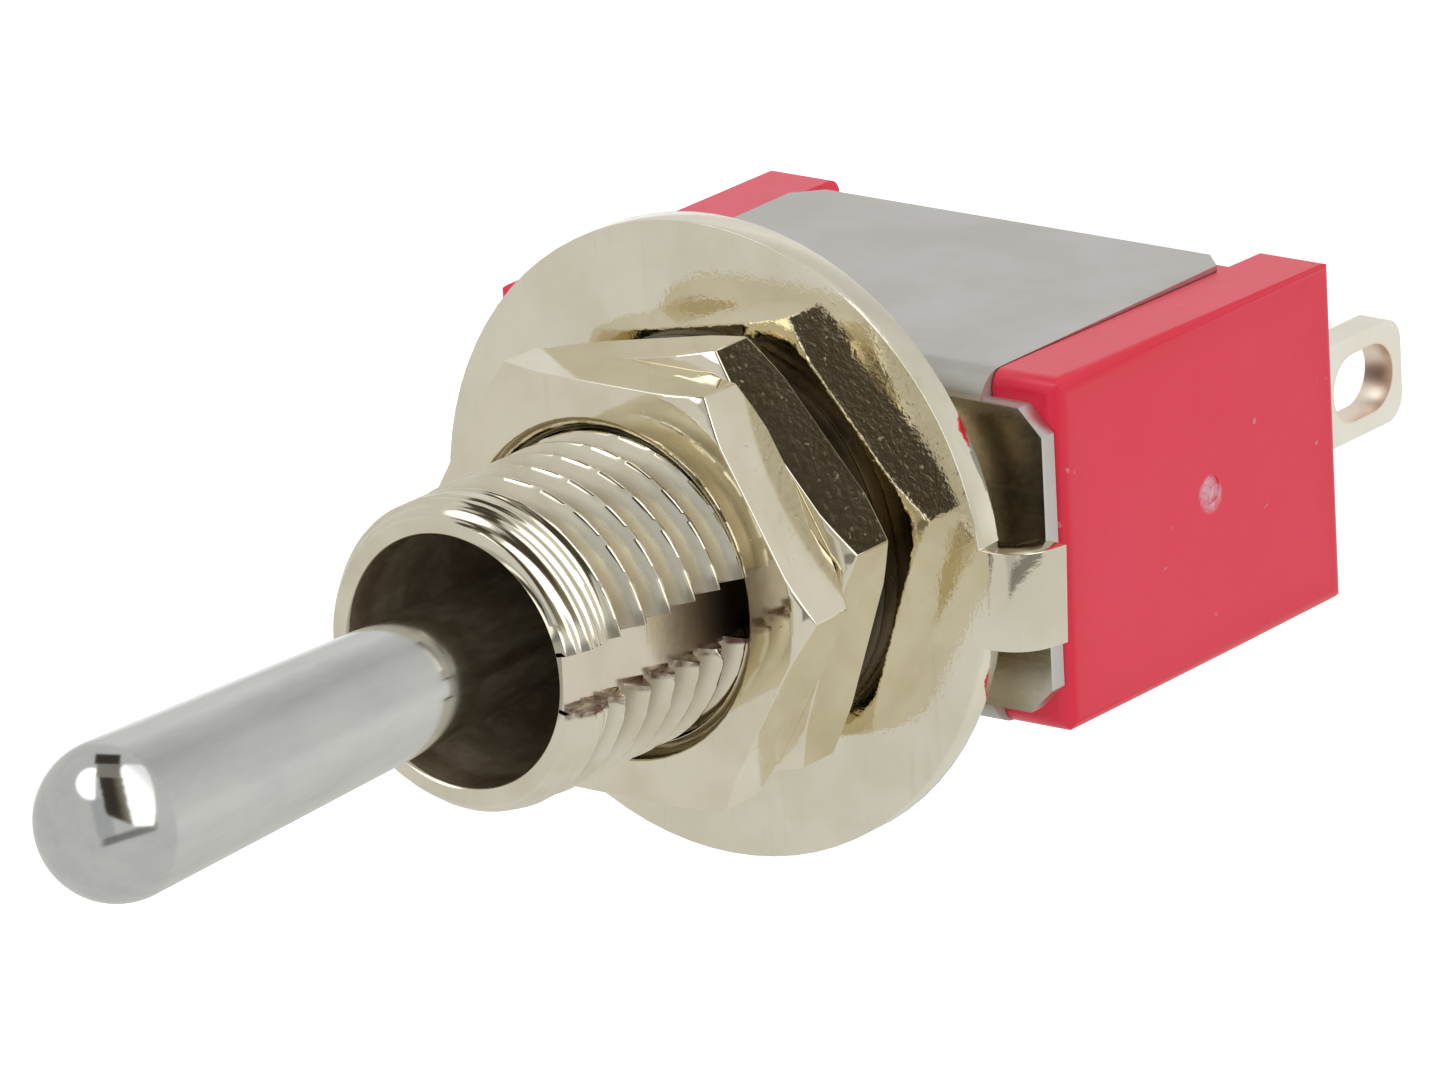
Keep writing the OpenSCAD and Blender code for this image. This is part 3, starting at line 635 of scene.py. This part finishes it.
def sewn_bushing():
    """The thread's grid closed by rings that follow the rim, the bore and the collar."""
    skin = grown("thread_cutter", thread_surface, {
        "Foot": collar_top_z, "Rim": rim_z, "Pitch": pitch, "Radius": thread_r,
        "Depth": thread_depth, "Rim step": rim_step, "Key floor": keyway_x,
        "Key half": keyway_half,
        "Burr": 0.10 * MM}, bushing_nickel, "threaded_bushing")
    spots = [vertex.co.copy() for vertex in skin.vertices]
    bpy.data.meshes.remove(skin)
    grid = [[spots[c * thread_rows + r] for r in range(thread_rows)] for c in range(turn_columns)]
    section = [(mouth_r + mouth_edge, rim_z), (mouth_r, rim_z - mouth_edge),
               (mouth_r, mouth_floor_z), (seat_r, seat_top_z + mouth_cone)]
    section += [(r, z) for r, z in arc(chamber_r, pivot_z,
                math.degrees(math.acos(seat_r / chamber_r)), 0, 10)]
    section += [(chamber_r, collar_top_z), (flare_r, case_z), (rivet_r, case_z), (stub_r, plate_z),
                (collar_r - collar_ease, plate_z), (collar_r, plate_z + collar_ease),
                (collar_r, collar_top_z - collar_ease), (collar_r - collar_ease, collar_top_z)]
    for column in grid:
        angle = math.atan2(column[0].y, column[0].x)
        column += [Vector((r * math.cos(angle), r * math.sin(angle), z)) for r, z in section]
    rows = len(grid[0])
    points = [spot for column in grid for spot in column]
    faces = []
    for c in range(turn_columns):
        n = (c + 1) % turn_columns
        for r in range(rows):
            s = (r + 1) % rows
            faces.append([c * rows + r, n * rows + r, n * rows + s, c * rows + s])
    mesh = bpy.data.meshes.new("threaded_bushing")
    mesh.from_pydata(points, [], faces)
    shape = bmesh.new()
    shape.from_mesh(mesh)
    bmesh.ops.recalc_face_normals(shape, faces=shape.faces)
    shape.to_mesh(mesh)
    shape.free()
    return piece_from("threaded_bushing", mesh, bushing_nickel, 50)


bushing = sewn_bushing()
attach(bushing, "housing")
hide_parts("bushing")


# ---- Lever: bat, ball and hollow tail turned as one ----

def turned_lever():
    tip_centre_z = tip_z - tip_r
    slope = (tip_r - bat_r) / (tip_centre_z - rim_z)

    def bat(z):
        """The bat's radius at a height."""
        return bat_r + slope * (z - rim_z)

    tail_end_z = pivot_z - tail_l
    neck_angle = math.degrees(math.acos(bat(pivot_z + neck_rise) / ball_r))
    section = [(0, pivot_z - bore_top), (tail_bore_r, pivot_z - bore_top),
               (tail_bore_r, tail_end_z), (tail_r - tail_chamfer, tail_end_z),
               (tail_r, tail_end_z + tail_chamfer)]
    section += arc(ball_r, pivot_z, -math.degrees(math.acos(tail_r / ball_r)), neck_angle, 28)
    neck_z = section[-1][1]
    levels = [neck_z + (tip_centre_z - neck_z) * k / 12 for k in range(1, 12)]
    section += [(bat(z), z) for z in levels]
    section += arc(tip_r, tip_centre_z, 0, 90, 28)[:-1] + [(0, tip_z)]
    return turned("toggle_lever", section, chrome)


lever = turned_lever()
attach(lever, "lever")
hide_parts("lever")


# ---- Spring inside the lever's tail ----

def spring_coil(board, size):
    turns = size["Turns"]
    line = board.add("GeometryNodeCurvePrimitiveLine", {"mode": "POINTS"}, {
        "Start": (0, 0, 0), "End": (0, 0, 1)})
    line = board.add("GeometryNodeResampleCurve", {"mode": "COUNT"}, {"Curve": line, "Count": 193})
    share = board.parts(board.add("GeometryNodeInputPosition"))[2]
    angle = share * turns * (2 * math.pi)
    climb = share - (share * (2 * math.pi)).sine() * 0.35
    helix = board.add("GeometryNodeSetPosition", sockets={"Geometry": line, "Position": board.point(
        angle.cosine() * size["Radius"], angle.sine() * size["Radius"],
        size["Low"] + climb * (size["High"] - size["Low"]))})
    wire = board.add("GeometryNodeCurvePrimitiveCircle", sockets={
        "Resolution": 10, "Radius": size["Wire"]})
    return board.add("GeometryNodeCurveToMesh", sockets={
        "Curve": helix, "Profile Curve": wire, "Fill Caps": True})


coil = piece_from("spring_coil", grown("coil_winder", spring_coil, {
    "Turns": spring_turns, "Radius": spring_r, "Wire": wire_r, "Low": spring_low_z + wire_r,
    "High": spring_high_z}, spring_steel, "spring_coil"), spring_steel)
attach(coil, "lever")
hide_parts("plunger_spring")


# ---- Pressed, moulded and cut pieces with eased edges ----

dressed = [
    ("front_nut", "housing", nut_nickel, "nickel", 0.035 * MM),
    ("rear_nut", "housing", nut_nickel, "nickel", 0.035 * MM),
    ("keyed_washer", "housing", washer_nickel, "nickel", 0.05 * MM),
    ("lock_washer", "housing", lock_washer_shade, "nickel", 0.03 * MM),
    ("frame", "housing", sheet_steel, "frame_steel", 0.04 * MM),
    ("case", "housing", red, "case_red", 0.12 * MM),
    ("terminal_right", "housing", lug_silver, "lug_silver", 0.06 * MM),
    ("terminal_left", "housing", lug_silver, "lug_silver", 0.06 * MM),
    ("terminal_centre", "housing", lug_silver, "lug_silver", 0.06 * MM),
    ("terminal_seal", "housing", resin, "seal_resin", 0.05 * MM),
    ("rocker", "rocker", rocker_bronze, "rocker_bronze", 0.03 * MM),
]
for node, body, finish, slot_name, edge in dressed:
    made = eased(node, finish, edge)
    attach(made, body)
    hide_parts(node)

kept = {"pivot_pin": spring_steel, "plunger": nylon, "rocker_contact_left": contact_silver,
        "rocker_contact_right": contact_silver, "fixed_contact_left": contact_silver,
        "fixed_contact_right": contact_silver}
for node, finish in kept.items():
    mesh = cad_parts[node].data
    mesh.materials.clear()
    mesh.materials.append(finish)


# ---- Camera, floor and light ----

def set_camera():
    data = bpy.data.cameras.new("camera")
    data.sensor_width = 36
    data.lens = lens
    data.clip_start = 0.01
    data.clip_end = 10
    eye = bpy.data.objects.new("camera", data)
    bpy.context.scene.collection.objects.link(eye)
    turn = Matrix((camera_right, camera_up, camera_back)).transposed().to_4x4()
    eye.matrix_world = Matrix.Translation(camera_spot) @ turn
    bpy.context.scene.camera = eye


def set_floor():
    half = 0.6
    mesh = bpy.data.meshes.new("floor")
    level = floor_z - 0.02 * MM
    mesh.from_pydata([(-half, -half, level), (half, -half, level), (half, half, level),
                      (-half, half, level)], [], [(0, 1, 2, 3)])
    floor = bpy.data.objects.new("floor", mesh)
    bpy.context.scene.collection.objects.link(floor)
    made, board = material("floor_card")
    mesh.materials.append(made)
    path = board.tree.nodes.new("ShaderNodeLightPath")
    seen = Wire(board, path.outputs["Is Camera Ray"])
    glossy = Wire(board, path.outputs["Is Glossy Ray"])
    matt = board.add("ShaderNodeBsdfDiffuse", sockets={"Color": (0.86, 0.86, 0.86, 1)})
    glow = board.add("ShaderNodeEmission", sockets={"Color": (1, 1, 1, 1), "Strength": 0.8})
    lit = board.add("ShaderNodeAddShader", sockets={0: matt, 1: glow})
    card = board.add("ShaderNodeMixShader", sockets={0: seen, 1: matt, 2: lit})
    clear = board.add("ShaderNodeBsdfTransparent")
    card = board.add("ShaderNodeMixShader", sockets={0: glossy, 1: card, 2: clear})
    board.add("ShaderNodeOutputMaterial", sockets={"Surface": card})


def set_studio():
    """A pale tent with two soft boxes, a dark gap between them and a white end.

    A face is lit by the way it leans: across and up place a card by the direction of the
    face that would mirror it towards the front."""
    world = bpy.data.worlds.new("studio")
    bpy.context.scene.world = world
    world.use_nodes = True
    board = Board(world.node_tree)
    ray = board.add("ShaderNodeTexCoord", out="Generated")
    side = ray.dot(tuple(camera_right))
    above = ray.dot(tuple(camera_up))
    front = ray.dot(tuple(camera_back))
    swell = 1 / ((front + 1.0005) * 2) ** 0.5
    across, up = side * swell, above * swell

    def card(x0, x1, y0, y1, soft):
        """A soft-edged card."""
        return (across.ramp(x0 - soft, x0 + soft) * (1 - across.ramp(x1 - soft, x1 + soft))
                * up.ramp(y0 - soft, y0 + soft) * (1 - up.ramp(y1 - soft, y1 + soft)))

    def disc(x, y, radius, soft):
        reach = ((across - x) ** 2 + (up - y) ** 2) ** 0.5
        return 1 - reach.ramp(radius - soft, radius + soft)

    depth = front * camera_back.z + side * camera_right.z + above * camera_up.z
    overhead = depth.ramp(-0.66, -0.56)
    # soft streaks, seen only in faces that stand along the bushing's axis
    around = ray.dot((0.476, -0.879, 0)).turn_to(ray.dot((0.879, 0.476, 0))) / (2 * math.pi) + 0.5
    tones = [(0.0, 208), (0.13, 222), (0.21, 233), (0.28, 209), (0.35, 199), (0.42, 210),
             (0.5, 219), (0.56, 222), (0.61, 235), (0.68, 231), (0.78, 221), (0.88, 215),
             (1.0, 208)]
    stops = [(place, colour(tone, tone, tone - 6 * place)[:3]) for place, tone in tones]
    streaks = board.add("ShaderNodeValToRGB", {"stops": stops}, {"Fac": around})
    tent = board.blend(side.ramp(-1, 1), colour(212, 212, 209), colour(216, 216, 213))
    tent = board.blend(1 - overhead, tent, streaks)
    lean = across + up * 0.25 + (board.noise(ray, 9.0, 2.0, 0.6) - 0.5) * 0.05
    # a grey card, then the dark gap between the boxes with its pale right edge
    grey = lean.ramp(-0.27, -0.21) * (1 - lean.ramp(-0.06, 0.0)) * up.ramp(-0.24, -0.18) * (
        1 - up.ramp(0.24, 0.32))
    tent = board.blend(grey * overhead * 0.8, tent, colour(180, 182, 184))
    gap = (lean.ramp(-0.10, -0.06) * (1 - lean.ramp(0.18, 0.22)) * (1 - up.ramp(0.50, 0.54))
           * (up + across * 0.4).ramp(0.01, 0.05))
    shade = board.blend(lean.ramp(0.06, 0.19), colour(64, 58, 50), colour(150, 141, 118))
    tent = board.blend(gap * overhead, tent, shade)
    stone, slate = colour(146, 142, 130), colour(66, 60, 53)
    tent = board.blend(card(-0.23, 0.055, 0.52, 0.66, 0.015) * overhead, tent, stone)
    tent = board.blend(card(-0.26, 0.045, 0.66, 0.78, 0.015) * overhead, tent, slate)
    # the thin dark seam under the gap
    seam = up - across * 0.31 + 0.22
    seam = (1 - abs(seam).ramp(0.03, 0.065)) * card(-0.15, 0.49, -0.4, 0.1, 0.05)
    tent = board.blend(seam * overhead * 0.75, tent, colour(92, 88, 82))
    # the two boxes, dimmer where they reach low
    oval = (((across - 0.2) / 0.28) ** 2 + ((up - 0.15) / 0.56) ** 2) ** 0.5
    box = (1 - oval.ramp(0.96, 1.02)) * lean.ramp(0.185, 0.225) * up.ramp(-0.08, -0.05) * (
        1 - up.ramp(0.65, 0.68))
    bright = board.blend(depth.ramp(-0.45, -0.1), (1.25, 1.25, 1.25, 1), (1.9, 1.9, 1.9, 1))
    tent = board.blend(box * overhead, tent, bright)
    box = disc(-0.285, 0.43, 0.185, 0.015) * (1 - across.ramp(-0.25, -0.225))
    tent = board.blend(box * overhead, tent, bright)
    tent = board.blend((1 - front.ramp(-0.98, -0.88)) * above.ramp(0.0, 0.1), tent, (1, 1, 1, 1))
    path = board.tree.nodes.new("ShaderNodeLightPath")
    seen = Wire(board, path.outputs["Is Camera Ray"])
    shown = board.blend(seen, tent, (1, 1, 1, 1))
    glow = board.add("ShaderNodeBackground", sockets={"Color": shown, "Strength": 1.0})
    board.add("ShaderNodeOutputWorld", sockets={"Surface": glow})


set_camera()
set_floor()
set_studio()
bpy.context.scene.view_settings.view_transform = "Standard"
